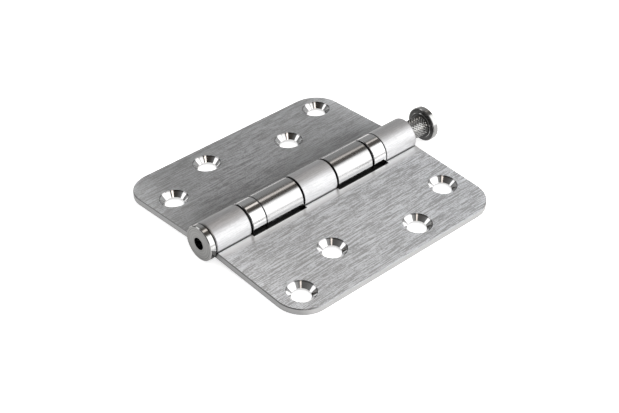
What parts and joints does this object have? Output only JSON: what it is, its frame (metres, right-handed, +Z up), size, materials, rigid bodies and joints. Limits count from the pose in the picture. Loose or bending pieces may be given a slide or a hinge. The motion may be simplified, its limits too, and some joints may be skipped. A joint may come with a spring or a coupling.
{
  "type": "ball bearing hinge",
  "caption": "Butt hinge with rounded flat leaves, rolled knuckles, countersunk screw holes, caged ball bearing rings in its barrel, an end plug and a loose knurled pin.",
  "frame": {"origin": "on the surface that the hinge lies on, under the pin's axis, midway between the plug's outer face and the pin's head", "axes": "+Y along the pin towards its head, +X across the leaf with three knuckles, +Z up through the countersunk faces"},
  "size_m": [0.0888, 0.1024, 0.0123],
  "materials": {
    "brushed_sheet": "brushed along the barrel",
    "turned_steel": "turned",
    "polished_cover": "polished",
    "ground_race": "ground",
    "pressed_cage": "pressed",
    "bearing_ball": "polished"
  },
  "bodies": {
    "fixed_leaf": {"three_knuckle_leaf": "brushed_sheet", "barrel_plug": "turned_steel", "bearing_1_lower_race": "ground_race", "bearing_2_cover": "polished_cover", "bearing_2_upper_race": "ground_race"},
    "moving_leaf": {"two_knuckle_leaf": "brushed_sheet", "bearing_1_cover": "polished_cover", "bearing_1_upper_race": "ground_race", "bearing_2_lower_race": "ground_race"},
    "pin": {"hinge_pin": "turned_steel"},
    "bearing_1_balls": {"bearing_1_cage": "pressed_cage", "bearing_1_ball_01": "bearing_ball", "bearing_1_ball_02": "bearing_ball", "bearing_1_ball_03": "bearing_ball", "bearing_1_ball_04": "bearing_ball", "bearing_1_ball_05": "bearing_ball", "bearing_1_ball_06": "bearing_ball", "bearing_1_ball_07": "bearing_ball", "bearing_1_ball_08": "bearing_ball", "bearing_1_ball_09": "bearing_ball", "bearing_1_ball_10": "bearing_ball", "bearing_1_ball_11": "bearing_ball", "bearing_1_ball_12": "bearing_ball"},
    "bearing_2_balls": {"bearing_2_cage": "pressed_cage", "bearing_2_ball_01": "bearing_ball", "bearing_2_ball_02": "bearing_ball", "bearing_2_ball_03": "bearing_ball", "bearing_2_ball_04": "bearing_ball", "bearing_2_ball_05": "bearing_ball", "bearing_2_ball_06": "bearing_ball", "bearing_2_ball_07": "bearing_ball", "bearing_2_ball_08": "bearing_ball", "bearing_2_ball_09": "bearing_ball", "bearing_2_ball_10": "bearing_ball", "bearing_2_ball_11": "bearing_ball", "bearing_2_ball_12": "bearing_ball"}
  },
  "joints": [
    {"name": "leaf_swing", "type": "hinge", "parent": "fixed_leaf", "child": "moving_leaf", "pos_m": [0, 0, 0.00615], "axis": [0, 1, 0], "range_deg": [-110, 185.4]},
    {"name": "pin_slide", "type": "slide", "parent": "fixed_leaf", "child": "pin", "axis": [0, 1, 0], "range_m": [-0.0081, 0.08]},
    {"name": "bearing_1_turn", "type": "hinge", "parent": "fixed_leaf", "child": "bearing_1_balls", "pos_m": [0, 0, 0.00615], "axis": [0, 1, 0], "range_deg": [-55, 92.7]},
    {"name": "bearing_2_turn", "type": "hinge", "parent": "fixed_leaf", "child": "bearing_2_balls", "pos_m": [0, 0, 0.00615], "axis": [0, 1, 0], "range_deg": [-55, 92.7]}
  ],
  "couplings": [
    {"joint": "bearing_1_turn", "follows": "leaf_swing", "ratio": 0.5},
    {"joint": "bearing_2_turn", "follows": "leaf_swing", "ratio": 0.5}
  ]
}
